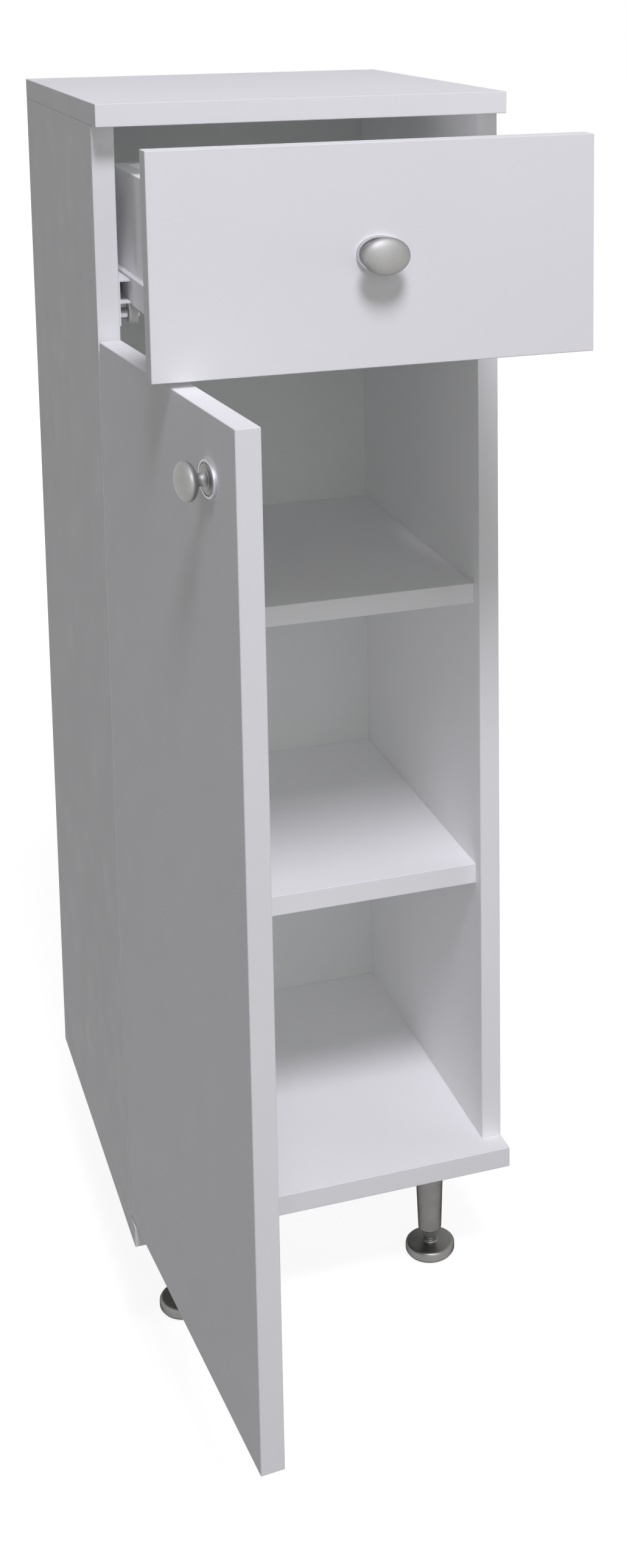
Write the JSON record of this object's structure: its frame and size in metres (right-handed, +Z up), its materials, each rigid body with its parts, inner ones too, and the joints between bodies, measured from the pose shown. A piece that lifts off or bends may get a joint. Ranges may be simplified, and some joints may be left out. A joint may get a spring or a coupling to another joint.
{
  "type": "bathroom cabinet",
  "caption": "Tall narrow white bathroom cabinet: hinged door over fixed shelves, roller-run drawer above, oval metal knobs, tapered metal legs on height-adjustable feet.",
  "frame": {"origin": "on the floor under the middle of the cabinet's top board, as pictured", "axes": "+X to the cabinet's right when facing it, +Y from its front to its back, +Z up"},
  "size_m": [0.3012, 0.602, 0.952],
  "materials": {
    "white_board": "smooth white foil on board, satin",
    "white_drawer_board": "white foil on thin board, satin",
    "white_hardboard": "white lacquered hardboard, matt",
    "beech_dowel": "raw fluted beech",
    "white_steel": "white powder coat",
    "roller_plastic": "moulded, matt",
    "zinc_screw": "bright zinc plate",
    "hinge_steel": "nickel plate",
    "knob_nickel": "satin nickel, fine brushing",
    "leg_metal": "satin nickel plate",
    "foot_metal": "bright nickel plate",
    "bush_plastic": "moulded, satin",
    "foot_rubber": "matt"
  },
  "bodies": {
    "carcass": {"top_panel": "white_board", "base_panel": "white_board", "left_side": "white_board", "right_side": "white_board", "back_panel": "white_hardboard", "upper_shelf": "white_board", "lower_shelf": "white_board", "carcass_dowels": "beech_dowel", "shelf_dowels": "beech_dowel", "front_left_leg": "leg_metal", "front_right_leg": "leg_metal", "back_left_leg": "leg_metal", "back_right_leg": "leg_metal", "leg_plates": "leg_metal", "leg_plate_screws": "zinc_screw", "leg_bushes": "bush_plastic", "hinge_plates": "hinge_steel", "hinge_plate_screws": "zinc_screw", "upper_hinge_arm": "hinge_steel", "lower_hinge_arm": "hinge_steel", "left_runner": "white_steel", "right_runner": "white_steel", "runner_screws": "zinc_screw", "front_roller_axles": "zinc_screw"},
    "door": {"door": "white_board", "door_knob": "knob_nickel", "door_knob_screw": "zinc_screw", "upper_hinge_housing": "hinge_steel", "lower_hinge_housing": "hinge_steel", "hinge_pins": "zinc_screw", "hinge_housing_screws": "zinc_screw"},
    "drawer": {"drawer_front": "white_board", "drawer_left_side": "white_drawer_board", "drawer_right_side": "white_drawer_board", "drawer_back": "white_drawer_board", "drawer_bottom": "white_hardboard", "drawer_dowels": "beech_dowel", "drawer_knob": "knob_nickel", "drawer_knob_screw": "zinc_screw", "left_drawer_rail": "white_steel", "right_drawer_rail": "white_steel", "drawer_rail_screws": "zinc_screw", "rear_roller_axles": "zinc_screw"},
    "front_rollers": {"front_rollers": "roller_plastic"},
    "rear_rollers": {"rear_rollers": "roller_plastic"},
    "front_left_foot": {"front_left_foot": "foot_metal", "front_left_foot_stud": "zinc_screw", "front_left_foot_pad": "foot_rubber"},
    "front_right_foot": {"front_right_foot": "foot_metal", "front_right_foot_stud": "zinc_screw", "front_right_foot_pad": "foot_rubber"},
    "back_left_foot": {"back_left_foot": "foot_metal", "back_left_foot_stud": "zinc_screw", "back_left_foot_pad": "foot_rubber"},
    "back_right_foot": {"back_right_foot": "foot_metal", "back_right_foot_stud": "zinc_screw", "back_right_foot_pad": "foot_rubber"}
  },
  "joints": [
    {"name": "door_swing", "type": "hinge", "parent": "carcass", "child": "door", "pos_m": [-0.142, -0.1514, 0.4515], "axis": [0, 0, -1], "range_deg": [-85.4, 10]},
    {"name": "drawer_slide", "type": "slide", "parent": "carcass", "child": "drawer", "axis": [0, -1, 0], "range_m": [-0.162, 0.028]},
    {"name": "front_roller_spin", "type": "hinge", "parent": "carcass", "child": "front_rollers", "pos_m": [0, -0.124, 0.80095], "axis": [1, 0, 0], "range_deg": [-1161, 201]},
    {"name": "rear_roller_spin", "type": "hinge", "parent": "drawer", "child": "rear_rollers", "pos_m": [0, -0.055, 0.81825], "axis": [1, 0, 0], "range_deg": [-1327, 230]},
    {"name": "front_left_foot_height", "type": "slide", "parent": "carcass", "child": "front_left_foot", "axis": [0, 0, -1], "range_m": [0, 0.01]},
    {"name": "front_right_foot_height", "type": "slide", "parent": "carcass", "child": "front_right_foot", "axis": [0, 0, -1], "range_m": [0, 0.01]},
    {"name": "back_left_foot_height", "type": "slide", "parent": "carcass", "child": "back_left_foot", "axis": [0, 0, -1], "range_m": [0, 0.01]},
    {"name": "back_right_foot_height", "type": "slide", "parent": "carcass", "child": "back_right_foot", "axis": [0, 0, -1], "range_m": [0, 0.01]}
  ],
  "couplings": [
    {"joint": "front_roller_spin", "follows": "drawer_slide", "rad_per_m": 125},
    {"joint": "rear_roller_spin", "follows": "drawer_slide", "rad_per_m": 142.86}
  ]
}
